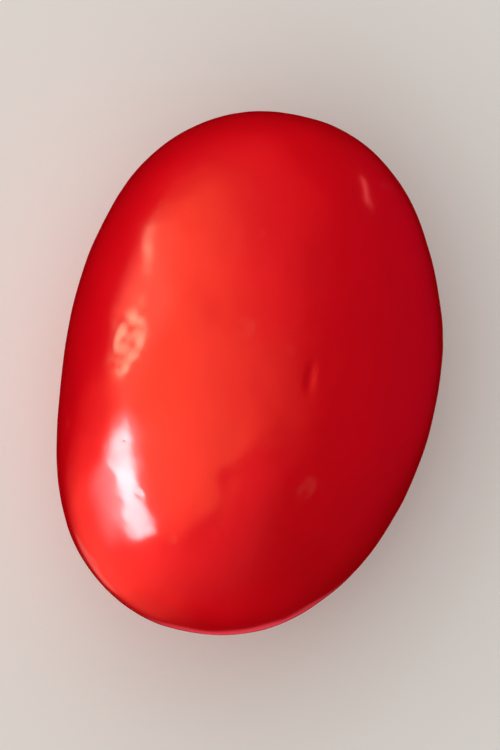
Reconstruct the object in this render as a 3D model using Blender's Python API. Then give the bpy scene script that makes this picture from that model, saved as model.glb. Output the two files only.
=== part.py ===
"""A sugared almond: an almond kernel built up in the coating pan to a smooth, full oval.

Frame: metres, +Z up. +Y runs along the almond's length and +X across its width, and it lies on
its broad face. The origin is at the middle of its footprint, on the small flat that it rests on.
"""

import math

import bmesh
import bpy
from mathutils import Vector

LENGTH = 0.0280  # tip to tip
WIDTH = 0.0199  # across the broad face, at the middle
THICKNESS = 0.0150  # between the two broad faces, at the middle

FULLNESS = 2.14  # exponent of the plan outline: 2 is an ellipse, and more fills out its shoulders
BOW = 0.0006  # how far the middle of the almond stands to +X of its tips
TAPER = 0.06  # share by which the -Y end is thicker than an even oval, and the +Y end thinner

# The coating's low swells are three long waves that cross each other: direction, length and phase.
SWELL_HEIGHT = 0.00004
SWELLS = (
    (Vector((0.8, 0.5, 0.3)), 0.0125, 0.4),
    (Vector((-0.5, 0.7, 0.5)), 0.0105, 2.1),
    (Vector((0.2, -0.6, 0.8)), 0.0090, 4.0),
)

FOOT_DEPTH = 0.00015  # how much of the lowest point is worn to the flat that it rests on
FOOT_SNAP = 0.00001  # points this close to the foot's plane are moved onto it
FOOT_WELD = 0.0002  # points of the foot's rim this close together become one, so that no sliver is left

BALL_SUBDIVISIONS = 5  # 5120 triangles, about 0.8 mm long on the almond
SHELL_RED = (0.62, 0.003, 0.010, 1.0)
SHELL_ROUGHNESS = 0.25
GLAZE_ROUGHNESS = 0.05


def clear_scene():
    for obj in list(bpy.data.objects):
        bpy.data.objects.remove(obj, do_unlink=True)


def oval(way):
    """The even oval's point in the direction of a unit vector, full in plan and elliptical in section."""
    plan = (abs(way.x) ** FULLNESS + abs(way.y) ** FULLNESS) ** (2 / FULLNESS)
    unit = way / math.sqrt(plan + way.z**2)
    return Vector((unit.x * WIDTH, unit.y * LENGTH, unit.z * THICKNESS)) / 2


def almond(way):
    """The oval's point once it is bowed along its length and thinned towards the +Y tip."""
    point = oval(way)
    along = point.y / (LENGTH / 2)
    point.x += BOW * (1 - along**2)
    point.z *= 1 - TAPER * along
    return point


def swell(point):
    """How far the coating stands proud of the even almond at a point."""
    waves = (
        math.cos(math.tau * point.dot(direction.normalized()) / length + phase)
        for direction, length, phase in SWELLS
    )
    return SWELL_HEIGHT * sum(waves)


def coated(way):
    point = almond(way)
    return point + swell(point) * way


def cut_foot(mesh):
    """Takes off the lowest point with a level plane, and closes the cut with one flat face."""
    level = min(vert.co.z for vert in mesh.verts) + FOOT_DEPTH
    cut = bmesh.ops.bisect_plane(
        mesh,
        geom=mesh.verts[:] + mesh.edges[:] + mesh.faces[:],
        dist=FOOT_SNAP,
        plane_co=(0, 0, level),
        plane_no=(0, 0, -1),
        use_snap_center=True,
        clear_outer=True,
    )
    rim = [item for item in cut["geom_cut"] if isinstance(item, bmesh.types.BMVert)]
    bmesh.ops.remove_doubles(mesh, verts=rim, dist=FOOT_WELD)
    open_edges = [edge for edge in mesh.edges if edge.is_boundary]
    bmesh.ops.edgeloop_fill(mesh, edges=open_edges)


def fit_to_size(mesh):
    """Sets the foot at Z 0 and the footprint's middle at X 0 and Y 0, and scales to the named sizes."""
    low = Vector(min(vert.co[axis] for vert in mesh.verts) for axis in range(3))
    high = Vector(max(vert.co[axis] for vert in mesh.verts) for axis in range(3))
    middle = (low + high) / 2
    bmesh.ops.translate(mesh, verts=mesh.verts, vec=(-middle.x, -middle.y, -low.z))
    sizes = (WIDTH, LENGTH, THICKNESS)
    stretch = [size / (high[axis] - low[axis]) for axis, size in enumerate(sizes)]
    bmesh.ops.scale(mesh, verts=mesh.verts, vec=stretch)


def glazed_sugar():
    """The red sugar shell under its clear glaze."""
    material = bpy.data.materials.new("glazed_red_sugar")
    material.use_nodes = True
    finish = material.node_tree.nodes["Principled BSDF"].inputs
    finish["Base Color"].default_value = SHELL_RED
    finish["Metallic"].default_value = 0.0
    finish["Roughness"].default_value = SHELL_ROUGHNESS
    finish["Coat Weight"].default_value = 1.0
    finish["Coat Roughness"].default_value = GLAZE_ROUGHNESS
    return material


def sugared_almond():
    mesh = bmesh.new()
    bmesh.ops.create_icosphere(mesh, subdivisions=BALL_SUBDIVISIONS, radius=1.0)
    for vert in mesh.verts:
        vert.co = coated(vert.co.normalized())
    cut_foot(mesh)
    fit_to_size(mesh)
    bmesh.ops.recalc_face_normals(mesh, faces=mesh.faces)
    shell = bpy.data.meshes.new("sugared_almond")
    mesh.to_mesh(shell)
    mesh.free()
    shell.shade_smooth()
    shell.materials.append(glazed_sugar())
    body = bpy.data.objects.new("sugared_almond", shell)
    bpy.context.scene.collection.objects.link(body)
    return body


clear_scene()
sugared_almond()
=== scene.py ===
import math

import bmesh
import bpy
import numpy as np
from mathutils import Matrix, Vector, noise


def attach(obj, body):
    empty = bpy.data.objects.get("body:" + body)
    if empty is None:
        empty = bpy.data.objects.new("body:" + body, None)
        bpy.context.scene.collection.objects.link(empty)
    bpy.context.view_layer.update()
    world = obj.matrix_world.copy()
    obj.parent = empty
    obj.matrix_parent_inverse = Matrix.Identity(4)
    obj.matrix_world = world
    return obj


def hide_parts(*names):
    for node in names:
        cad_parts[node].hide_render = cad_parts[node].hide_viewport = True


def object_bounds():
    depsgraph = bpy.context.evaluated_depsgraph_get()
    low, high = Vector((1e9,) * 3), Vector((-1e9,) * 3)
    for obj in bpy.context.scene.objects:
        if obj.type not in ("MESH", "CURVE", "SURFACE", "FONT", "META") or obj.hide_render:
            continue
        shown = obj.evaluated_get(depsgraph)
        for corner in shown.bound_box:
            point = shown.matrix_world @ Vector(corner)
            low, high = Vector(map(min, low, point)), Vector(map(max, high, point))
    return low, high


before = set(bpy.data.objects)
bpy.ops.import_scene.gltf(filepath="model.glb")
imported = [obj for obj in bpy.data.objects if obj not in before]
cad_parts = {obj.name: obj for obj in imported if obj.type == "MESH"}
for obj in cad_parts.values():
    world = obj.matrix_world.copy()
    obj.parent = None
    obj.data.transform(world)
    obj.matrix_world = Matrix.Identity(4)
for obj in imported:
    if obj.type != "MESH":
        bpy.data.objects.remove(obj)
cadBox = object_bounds()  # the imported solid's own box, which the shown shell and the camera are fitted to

mm = 0.001
lean = math.radians(11.6)  # how far the almond's far tip leans to the right, seen from above


def linear(hexColour):
    # an sRGB hex colour as linear RGBA, the way Blender's sockets take it
    parts = [int(hexColour[i:i + 2], 16) / 255 for i in (1, 3, 5)]
    return [c / 12.92 if c <= 0.04045 else ((c + 0.055) / 1.055) ** 2.4 for c in parts] + [1.0]


def addNode(tree, kind, inputs=None, **settings):
    # adds a node with its settings; an input is either a value or the socket that feeds it
    node = tree.nodes.new("ShaderNode" + kind)
    for name, value in settings.items():
        setattr(node, name, value)
    for socket, value in (inputs or {}).items():
        if isinstance(value, bpy.types.NodeSocket):
            tree.links.new(value, node.inputs[socket])
        else:
            node.inputs[socket].default_value = value
    return node


def towards(side, height):
    # a direction as the viewer above the almond names it: side 0 is right and 90 is up the view,
    # height is the angle above the floor
    side = math.radians(side) + lean
    height = math.radians(height)
    level = math.cos(height)
    return Vector((math.cos(side) * level, math.sin(side) * level, math.sin(height)))


up = Vector((0, 0, 1))
left = towards(180, 0)


almond = {
    "cuts": 119,  # of each side of the ball that it is shaped from: quads about 0.13 mm across
    "fullness": 2.14,  # 2 is an ellipse in plan, and more fills out its shoulders
    "bow": 0.6 * mm,  # how far the middle stands to one side of the tips
    "taper": 0.06,  # how much thicker one end is than the other
    "swellHeight": 0.04 * mm,
    "swells": (  # direction, length and phase of the coating's long waves
        ((0.8, 0.5, 0.3), 12.5 * mm, 0.4),
        ((-0.5, 0.7, 0.5), 10.5 * mm, 2.1),
        ((0.2, -0.6, 0.8), 9.0 * mm, 4.0),
    ),
    "footDepth": 0.15 * mm,  # how much is cut off for the small flat that it rests on
    "footSnap": 0.002 * mm,  # what lies nearer to the cut than this is moved onto it
    "footWeld": 0.03 * mm,  # and corners of the flat that are closer than this become one
    "lumps": (  # the uneven build-up of sugar in the pan: distance between lumps and height
        (5.2 * mm, 0.085 * mm),
        (2.3 * mm, 0.042 * mm),
        (1.0 * mm, 0.0095 * mm),
    ),
    "lumpShift": (17.3, 5.1, 9.7),  # keeps one layer's lumps from lining up with the next one's
}


def shapeOfAlmond(ways):
    # the same oval as the solid: full in plan, elliptical in section, bowed, and thinner at one tip
    size = np.array(cadBox[1] - cadBox[0])
    full = almond["fullness"]
    plan = (np.abs(ways[:, 0]) ** full + np.abs(ways[:, 1]) ** full) ** (2 / full)
    unit = ways / np.sqrt(plan + ways[:, 2] ** 2)[:, None]
    points = unit * size / 2
    along = unit[:, 1]
    points[:, 0] += almond["bow"] * (1 - along**2)
    points[:, 2] *= 1 - almond["taper"] * along
    swell = np.zeros(len(points))
    for direction, length, phase in almond["swells"]:
        direction = np.array(direction) / np.linalg.norm(direction)
        swell += np.cos(math.tau * (points @ direction) / length + phase)
    return points + almond["swellHeight"] * swell[:, None] * ways


def lumpiness(points):
    # how far the sugar stands proud at each point
    height = np.zeros(len(points))
    for layer, (spacing, tall) in enumerate(almond["lumps"]):
        shift = Vector(almond["lumpShift"]) * (layer + 1)
        height += tall * np.array([noise.noise(Vector(p) / spacing + shift) for p in points])
    return height


# where neighbours touched it as it dried: an uneven crust round a gritty patch, painted pale in
# places, partly as rubbed sugar and partly as a painted highlight on the crust, then a small pit
# and a low bump; "at" is seen from above, across and along the almond
touchMarks = (
    {"at": (-5.80 * mm, 0.25 * mm), "halfWidth": 0.76 * mm, "halfLength": 1.42 * mm,
     "rim": 0.022 * mm, "dip": 0.015 * mm, "grit": 0.008 * mm, "rubbedAndHighlight": 1.0},
    {"at": (3.6 * mm, 0.5 * mm), "halfWidth": 0.28 * mm, "halfLength": 0.75 * mm,
     "rim": 0.004 * mm, "dip": 0.046 * mm, "grit": 0.002 * mm, "rubbedAndHighlight": 0.0},
    {"at": (-2.3 * mm, -8.9 * mm), "halfWidth": 0.55 * mm, "halfLength": 0.45 * mm,
     "rim": 0.004 * mm, "dip": -0.016 * mm, "grit": 0.004 * mm, "rubbedAndHighlight": 0.0},
)

# faint ones all over the shell, each with its own share of these heights
smallMarks = {
    "seed": 8,
    "count": 34,
    "halfSize": (0.16 * mm, 0.50 * mm),  # the smallest and the largest
    "strength": (0.2, 1.0),  # the same for the share
    "rim": 0.006 * mm,
    "dip": 0.010 * mm,
    "grit": 0.005 * mm,
    "rubbedAndHighlight": 0.06,
}

crumb = {
    "grainSize": 0.55 * mm,  # of the crumbs in a mark's crust
    "bendSize": 1.1 * mm,  # how soon its outline changes course
    "bend": 0.55,  # and how far, as a share of the mark's own half size
    "rimWidth": 0.24,  # these three as the same share
    "hollowWidth": 0.75,
    "insideWidth": 1.2,
    "cover": 0.6,  # how much of the crust there is on average
    "gaps": 2.4,  # how strongly it comes and goes round the mark
    "thickest": 1.5,  # and the most that there is anywhere
    "farthest": 3,  # half sizes from the middle, where nothing of the mark is left
    "inner": 0.7,  # how pale the inside is next to the crust
    "pale": 0.7,  # how pale a marked place is painted on average: rubbed sugar and painted highlight
    "speckle": 1.2,  # how much more so on its grains
}


def addMark(mark, centre, points, ways, height, rubbedAndHighlight):
    # adds one mark's relief round points[centre], and notes how pale it is painted, as rubbed sugar
    # and painted highlight
    out = ways[centre]
    across = np.cross((0.0, 1.0, 0.0), out)
    across /= np.linalg.norm(across)
    along = np.cross(out, across)
    offset = points - points[centre]
    reach = np.hypot(offset @ across / mark["halfWidth"], offset @ along / mark["halfLength"])
    near = np.flatnonzero((reach < crumb["farthest"]) & (ways @ out > 0))
    grains = np.array([noise.noise(Vector(points[i]) / crumb["grainSize"]) for i in near])
    bends = np.array([noise.noise(Vector(points[i]) / crumb["bendSize"]) for i in near])
    reach = reach[near] + crumb["bend"] * bends
    inside = np.exp(-((reach / crumb["insideWidth"]) ** 4))
    hollow = np.exp(-((reach / crumb["hollowWidth"]) ** 2))
    crust = np.exp(-(((reach - 1) / crumb["rimWidth"]) ** 2))
    crust *= np.clip(crumb["cover"] + crumb["gaps"] * bends, 0, crumb["thickest"])
    height[near] += mark["rim"] * crust + mark["grit"] * grains * inside - mark["dip"] * hollow
    # the pale share: rubbed sugar, and on the crust a painted highlight as well
    wearAndHighlight = np.clip(crust + crumb["inner"] * inside, 0, 1)
    wearAndHighlight *= np.clip(crumb["pale"] + crumb["speckle"] * grains, 0, 1)
    rubbedAndHighlight[near] = np.maximum(rubbedAndHighlight[near], mark["rubbedAndHighlight"] * wearAndHighlight)


def touchRelief(points, ways):
    height = np.zeros(len(points))
    rubbedAndHighlight = np.zeros(len(points))
    underneath = np.where(ways[:, 2] > 0, 0.0, 1.0)  # puts these points out of the running
    for mark in touchMarks:
        centre = np.argmin(np.hypot(*(points[:, :2] - mark["at"]).T) + underneath)
        addMark(mark, centre, points, ways, height, rubbedAndHighlight)
    draw = np.random.default_rng(smallMarks["seed"])
    for _ in range(smallMarks["count"]):
        middle = draw.normal(size=3)
        halfWidth, halfLength = draw.uniform(*smallMarks["halfSize"], 2)
        share = draw.uniform(*smallMarks["strength"])
        mark = {part: share * smallMarks[part] for part in ("rim", "dip", "grit", "rubbedAndHighlight")}
        mark.update(halfWidth=halfWidth, halfLength=halfLength)
        addMark(mark, np.argmax(ways @ middle), points, ways, height, rubbedAndHighlight)
    return height, rubbedAndHighlight


def fitInBox(points):
    # scales the finished surface to the solid's box, so that it never stands outside it
    low, high = points.min(axis=0), points.max(axis=0)
    boxLow, boxHigh = np.array(cadBox[0]), np.array(cadBox[1])
    return boxLow + (points - low) * (boxHigh - boxLow) / (high - low)


def cutFoot(mesh):
    # cuts the small flat and returns the face that closes it
    bottom = min(v.co.z for v in mesh.verts) + almond["footDepth"]
    cut = bmesh.ops.bisect_plane(
        mesh, geom=mesh.verts[:] + mesh.edges[:] + mesh.faces[:], dist=almond["footSnap"],
        plane_co=(0, 0, bottom), plane_no=(0, 0, -1), use_snap_center=True, clear_outer=True)
    rim = [v for v in cut["geom_cut"] if isinstance(v, bmesh.types.BMVert)]
    bmesh.ops.remove_doubles(mesh, verts=rim, dist=almond["footWeld"])
    return bmesh.ops.edgeloop_fill(mesh, edges=[e for e in mesh.edges if e.is_boundary])["faces"]


def makeAlmond():
    ball = bmesh.new()
    bmesh.ops.create_cube(ball, size=2)
    bmesh.ops.subdivide_edges(ball, edges=ball.edges[:], cuts=almond["cuts"], use_grid_fill=True)
    cube = np.array([v.co for v in ball.verts])
    ways = np.tan(cube * math.pi / 4)  # evens out the quads before they are pushed onto the ball
    ways /= np.linalg.norm(ways, axis=1)[:, None]
    points = shapeOfAlmond(ways)
    touched, rubbedAndHighlight = touchRelief(points, ways)
    points += (lumpiness(points) + touched)[:, None] * ways
    # the pale share of each point, rubbed sugar and painted highlight, kept for the material
    rubbedAndHighlightLayer = ball.verts.layers.float.new("rubbedAndHighlight")
    for vert, point, amount in zip(ball.verts, points, rubbedAndHighlight):
        vert.co = point
        vert[rubbedAndHighlightLayer] = amount
    for face in ball.faces:
        face.smooth = True
    for face in cutFoot(ball):
        face.smooth = False
    bmesh.ops.recalc_face_normals(ball, faces=ball.faces)
    mesh = bpy.data.meshes.new("sugarShell")
    ball.to_mesh(mesh)
    ball.free()
    place = np.empty(len(mesh.vertices) * 3)
    mesh.vertices.foreach_get("co", place)
    mesh.vertices.foreach_set("co", fitInBox(place.reshape(-1, 3)).ravel())
    mesh.update()
    piece = bpy.data.objects.new("sugarShell", mesh)
    bpy.context.scene.collection.objects.link(piece)
    return piece


sugar = {
    "red": "#e80014",
    "deepRed": "#d80012",  # the mottling wanders between this and the red
    # pale pink of rubbed sugar, which on the touch marks' crust also serves as a painted highlight
    "rubbedAndHighlightPink": "#ffa88a",
    "mottleMm": 3.0,
    "mottleDetail": 4.0,
    "peelMm": 0.45,  # distance between the dimples of the orange peel
    "peelDetail": 1.5,
    "peelDepth": 0.0022 * mm,
    "pitMm": 1.1,  # distance between the pinholes that air bubbles left
    "pitWidth": 0.10,  # as a share of that distance
    "pitDepth": 0.004 * mm,
    "roughness": 0.20,
    "rubbedRoughness": 0.45,
    "sugarIOR": 1.55,
    "glaze": 1.0,
    "rubbedGlaze": 0.4,  # what is left of it where the sugar was rubbed
    "glazeRoughness": 0.035,
    "shellacIOR": 1.52,
}


def panPolishedSugar():
    # hard sugar shell dyed with red lake and pan-polished under a thin shellac glaze: deep red with
    # a wet gloss, faintly mottled, with a fine orange peel and pinholes that break up the edges of
    # reflections, and pale and dull where it was rubbed, the pale pink partly a painted highlight
    # on the touch marks' crust
    material = bpy.data.materials.new("panPolishedSugar")
    material.use_nodes = True
    tree = material.node_tree
    shader = tree.nodes["Principled BSDF"]
    place = addNode(tree, "TexCoord").outputs["Object"]
    rubbedAndHighlight = addNode(tree, "Attribute", attribute_name="rubbedAndHighlight").outputs["Fac"]

    mottle = addNode(tree, "TexNoise", {"Vector": place, "Detail": sugar["mottleDetail"],
                                        "Scale": 1 / (sugar["mottleMm"] * mm)})
    colour = addNode(tree, "MixRGB", {"Fac": mottle.outputs["Fac"],
                                      "Color1": linear(sugar["deepRed"]),
                                      "Color2": linear(sugar["red"])})
    # pale pink where the mark map says so: rubbed sugar, and partly a painted highlight
    colour = addNode(tree, "MixRGB", {"Fac": rubbedAndHighlight, "Color1": colour.outputs["Color"],
                                      "Color2": linear(sugar["rubbedAndHighlightPink"])})
    tree.links.new(colour.outputs["Color"], shader.inputs["Base Color"])

    roughness = addNode(tree, "MapRange", {"Value": rubbedAndHighlight, "To Min": sugar["roughness"],
                                           "To Max": sugar["rubbedRoughness"]})
    tree.links.new(roughness.outputs["Result"], shader.inputs["Roughness"])
    glaze = addNode(tree, "MapRange", {"Value": rubbedAndHighlight, "To Min": sugar["glaze"],
                                       "To Max": sugar["rubbedGlaze"]})
    tree.links.new(glaze.outputs["Result"], shader.inputs["Coat Weight"])

    peel = addNode(tree, "TexNoise", {"Vector": place, "Detail": sugar["peelDetail"],
                                      "Scale": 1 / (sugar["peelMm"] * mm)})
    pits = addNode(tree, "TexVoronoi", {"Vector": place, "Scale": 1 / (sugar["pitMm"] * mm)})
    pitted = addNode(tree, "MapRange", {"Value": pits.outputs["Distance"],
                                        "From Max": sugar["pitWidth"]},
                     interpolation_type="SMOOTHSTEP")
    bump = addNode(tree, "Bump", {"Height": peel.outputs["Fac"], "Distance": sugar["peelDepth"]})
    bump = addNode(tree, "Bump", {"Height": pitted.outputs["Result"], "Distance": sugar["pitDepth"],
                                  "Normal": bump.outputs["Normal"]})
    tree.links.new(bump.outputs["Normal"], shader.inputs["Normal"])
    tree.links.new(bump.outputs["Normal"], shader.inputs["Coat Normal"])

    shader.inputs["IOR"].default_value = sugar["sugarIOR"]
    shader.inputs["Coat Roughness"].default_value = sugar["glazeRoughness"]
    shader.inputs["Coat IOR"].default_value = sugar["shellacIOR"]
    return material


print("shaping the almond")
shell = makeAlmond()
print("polishing its sugar shell")
shell.data.materials.append(panPolishedSugar())
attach(shell, "root")
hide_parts("sugared_almond")


floorSheet = {
    "colour": "#f4f4f2",
    "size": 2.0,
    "roughness": 0.9,
    "sheen": 0.0,
}


def makeFloor():
    size = floorSheet["size"]
    mesh = bpy.data.meshes.new("floor")
    corners = [(x * size / 2, y * size / 2, 0) for x, y in ((-1, -1), (1, -1), (1, 1), (-1, 1))]
    mesh.from_pydata(corners, [], [(0, 1, 2, 3)])
    floor = bpy.data.objects.new("floor", mesh)
    bpy.context.scene.collection.objects.link(floor)
    # uncoated card: pale and quite matt
    material = bpy.data.materials.new("mattCard")
    material.use_nodes = True
    shader = material.node_tree.nodes["Principled BSDF"]
    shader.inputs["Base Color"].default_value = linear(floorSheet["colour"])
    shader.inputs["Roughness"].default_value = floorSheet["roughness"]
    shader.inputs["Specular IOR Level"].default_value = floorSheet["sheen"]
    mesh.materials.append(material)
    floor.visible_glossy = False  # the shell mirrors the surround instead
    floor.visible_diffuse = False


# what the gloss mirrors: every lamp has a colour and a strength, and its shape in degrees, given by
# the side it stands on, its height and its spread, or for a pane how far it reaches each way;
# "edges" bound a wide light: a direction, and the shares along it where it is dark and fully lit
surround = {
    # warm light from the upper left, which makes the broad orange band; the last four edges dim it
    # at the upper right, fade it towards the near end and cut a dark area out at the near right
    "softbox": {"colour": "#ff834f", "strength": 3.3, "edges": (
        (up, 0.015, 0.405), (left, -1.60, 1.62), (left + 1.22 * up, 0.30, 1.43),
        (towards(-123.8, -50.6), -1.045, -0.645), (towards(94, 52), -0.25, 0.66),
        (towards(119.4, 0), -0.47, -0.307), (towards(114.6, -54.5), -0.945, -0.919))},
    # red light bounced back by neighbouring sweets, strongest on the left and high up
    "redScreen": {"colour": "#ff0011", "strength": 1.9, "edges": (
        (up, -0.60, 0.57), (left, -0.70, -0.03), (towards(125.4, -25), -1.175, -0.58))},
    # the same, stronger and warmer, at the near end
    "sill": {"colour": "#ff5041", "strength": 5.4, "edges": (
        (towards(-105.7, 10.5), 0.13, 0.73), (left, 0.07, 1.09))},
    # and faintly from underneath and from the right
    "below": {"colour": "#ff0010", "strength": 0.19, "edges": ((-up, -0.15, 0.15),)},
    "rightFill": {"colour": "#ff0040", "strength": 0.55, "side": 11, "height": 2, "spread": 66},
    # two low glints along the outline, at the near end and at the near left
    "underRim": {"colour": "#ff5a6a", "strength": 0.8, "side": -84, "height": -62, "spread": 17},
    "leftRim": {"colour": "#ff9a90", "strength": 0.6, "side": -143, "height": -48, "spread": 10},
    # a narrow window on the left: a white strip with a milky haze beside it
    "strip": {"colour": "#fbf6ff", "strength": 9.2, "side": -157.5, "height": 28.8, "turn": 11,
              "halfLength": 12.7, "above": 0.8, "below": 12.8, "softness": 6, "fade": 4},
    "halo": {"colour": "#fff2fa", "strength": 3.5, "side": -167.5, "height": 27.8, "turn": 25.6,
             "halfLength": 6.7, "above": 1.0, "below": 23, "softness": 16.5, "fade": 40},
    # and warmer light beyond its far end, with one brighter sliver
    "brim": {"colour": "#ff887c", "strength": 1.39, "side": 155.5, "height": 24, "spread": 27,
             "edges": ((up, -0.15, 0.15),)},
    "sliver": {"colour": "#fff1c4", "strength": 2.4, "side": 143.9, "height": 16.0, "turn": 81,
               "halfLength": 6.3, "above": 4.0, "below": 5.0, "softness": 9, "fade": 7},
    # a gap between two neighbours, which makes the short streak on the right
    "gap": {"colour": "#ff6c6c", "strength": 3.6, "side": 45, "height": 2, "turn": 120,
            "halfLength": 7.5, "above": 1.5, "below": 1.5, "softness": 5, "fade": 5},
}

studio = {
    "backdropColour": "#f2f2f0",  # behind the floor
    "lightColour": "#fffaf4",  # of the light that falls on the sugar's colour and on the floor
    "softbox": 0.73,  # its strength from above and from the left, between the edges
    "softboxEdges": ((up, -0.08, 0.06), (left, -1.40, 0.10), (left + 0.32 * up, -0.25, 0.1)),
    "dim": 0.19,  # and from everywhere
}


def litWhere(tree, direction, axis, start, end):
    # an edge of the light: 0 to 1 as the direction's share along the axis goes from start to end
    share = addNode(tree, "VectorMath", {0: direction, 1: axis}, operation="DOT_PRODUCT")
    edge = addNode(tree, "MapRange", {"Value": share.outputs["Value"], "From Min": start,
                                      "From Max": end}, interpolation_type="SMOOTHSTEP")
    return edge.outputs["Result"]


def insideAll(tree, edges):
    # what is left of a light inside all of its edges
    lit = edges[0]
    for edge in edges[1:]:
        lit = addNode(tree, "Math", {0: lit, 1: edge}, operation="MULTIPLY").outputs["Value"]
    return lit


def glow(tree, direction, lamp):
    # a round patch of light that fades to nothing at spread degrees from its middle
    middle = towards(lamp["side"], lamp["height"])
    return litWhere(tree, direction, middle, math.cos(math.radians(lamp["spread"])), 1.0)


paneSide = (0.0, 0.2)  # keeps a pane from showing on the opposite side as well


def pane(tree, direction, lamp):
    # a lit rectangle as the almond sees it, turned about its middle; "fade" blurs its lower edge
    middle = towards(lamp["side"], lamp["height"])
    level = up.cross(middle).normalized()
    along = Matrix.Rotation(math.radians(lamp["turn"]), 3, middle) @ level
    down = along.cross(middle)
    edges = ((along, "halfLength", "softness"), (-along, "halfLength", "softness"),
             (down, "above", "softness"), (-down, "below", "fade"))
    inside = [litWhere(tree, direction, middle, *paneSide)]
    for axis, reach, blur in edges:
        dark, lit = (math.radians(lamp[reach] + share * lamp[blur]) for share in (0.5, -0.5))
        inside.append(litWhere(tree, direction, axis, -math.sin(dark), -math.sin(lit)))
    return insideAll(tree, inside)


def lampShape(tree, direction, lamp):
    lit = [litWhere(tree, direction, *edge) for edge in lamp.get("edges", ())]
    if "turn" in lamp:
        lit.append(pane(tree, direction, lamp))
    elif "spread" in lamp:
        lit.append(glow(tree, direction, lamp))
    return insideAll(tree, lit)


def mirroredSurround(tree, direction):
    total = (0.0, 0.0, 0.0)
    for lamp in surround.values():
        shape = lampShape(tree, direction, lamp)
        amount = addNode(tree, "Math", {0: shape, 1: lamp["strength"]}, operation="MULTIPLY")
        shine = addNode(tree, "VectorMath", {0: linear(lamp["colour"])[:3],
                                             "Scale": amount.outputs["Value"]}, operation="SCALE")
        total = addNode(tree, "VectorMath", {0: total, 1: shine.outputs["Vector"]},
                        operation="ADD").outputs["Vector"]
    return addNode(tree, "Background", {"Color": total}).outputs["Background"]


def softDaylight(tree, direction):
    lit = insideAll(tree, [litWhere(tree, direction, *edge) for edge in studio["softboxEdges"]])
    level = addNode(tree, "Math", {0: lit, 1: studio["softbox"], 2: studio["dim"]},
                    operation="MULTIPLY_ADD")
    glowing = addNode(tree, "Background", {"Color": linear(studio["lightColour"]),
                                           "Strength": level.outputs["Value"]})
    return glowing.outputs["Background"]


def makeStudioLight():
    # the eye sees a plain backdrop, the gloss mirrors the surround, and daylight falls on the rest
    world = bpy.data.worlds.new("studio")
    world.use_nodes = True
    bpy.context.scene.world = world
    world.cycles.sampling_method = "NONE"  # otherwise the daylight gets into the gloss
    tree = world.node_tree
    tree.nodes.clear()
    direction = addNode(tree, "TexCoord").outputs["Generated"]
    path = addNode(tree, "LightPath")
    backdrop = addNode(tree, "Background", {"Color": linear(studio["backdropColour"])})
    light = addNode(tree, "MixShader", {"Fac": path.outputs["Is Glossy Ray"],
                                        1: softDaylight(tree, direction),
                                        2: mirroredSurround(tree, direction)})
    both = addNode(tree, "MixShader", {"Fac": path.outputs["Is Camera Ray"], 1: light.outputs[0],
                                       2: backdrop.outputs[0]})
    addNode(tree, "OutputWorld", {"Surface": both.outputs[0]})


topLight = {
    "strength": 0.52,
    "size": 0.6,  # metres, as is its place
    "place": (-0.01, 0.5, 0.42),
}


def makeTopLight():
    # a wide, soft lamp that faces down, high beyond the almond's thinner end: it fills the colour
    # and doesn't show in the gloss
    top = bpy.data.lights.new("topLight", "AREA")
    top.size = topLight["size"]
    top.energy = topLight["strength"] * top.size**2 * math.pi
    lamp = bpy.data.objects.new("topLight", top)
    lamp.location = topLight["place"]
    lamp.visible_glossy = False
    bpy.context.scene.collection.objects.link(lamp)


view = {
    "lens": 150,
    "frameHeight": 39.8 * mm,  # how much fits in the picture's height at the almond's middle
    "nearest": 10 * mm,  # what is closer to the camera isn't drawn
}


def makeCamera():
    lens = bpy.data.cameras.new("camera")
    lens.lens = view["lens"]
    lens.clip_start = view["nearest"]
    eye = bpy.data.objects.new("camera", lens)
    middle = (cadBox[0] + cadBox[1]) / 2
    away = view["frameHeight"] * lens.lens / lens.sensor_width
    eye.location = middle + Vector((0, 0, away))
    eye.rotation_euler = (0, 0, lean)
    bpy.context.scene.collection.objects.link(eye)
    bpy.context.scene.camera = eye


print("laying the floor")
makeFloor()
print("hanging the lights")
makeStudioLight()
makeTopLight()
print("placing the camera")
makeCamera()
bpy.context.scene.view_settings.view_transform = "Standard"
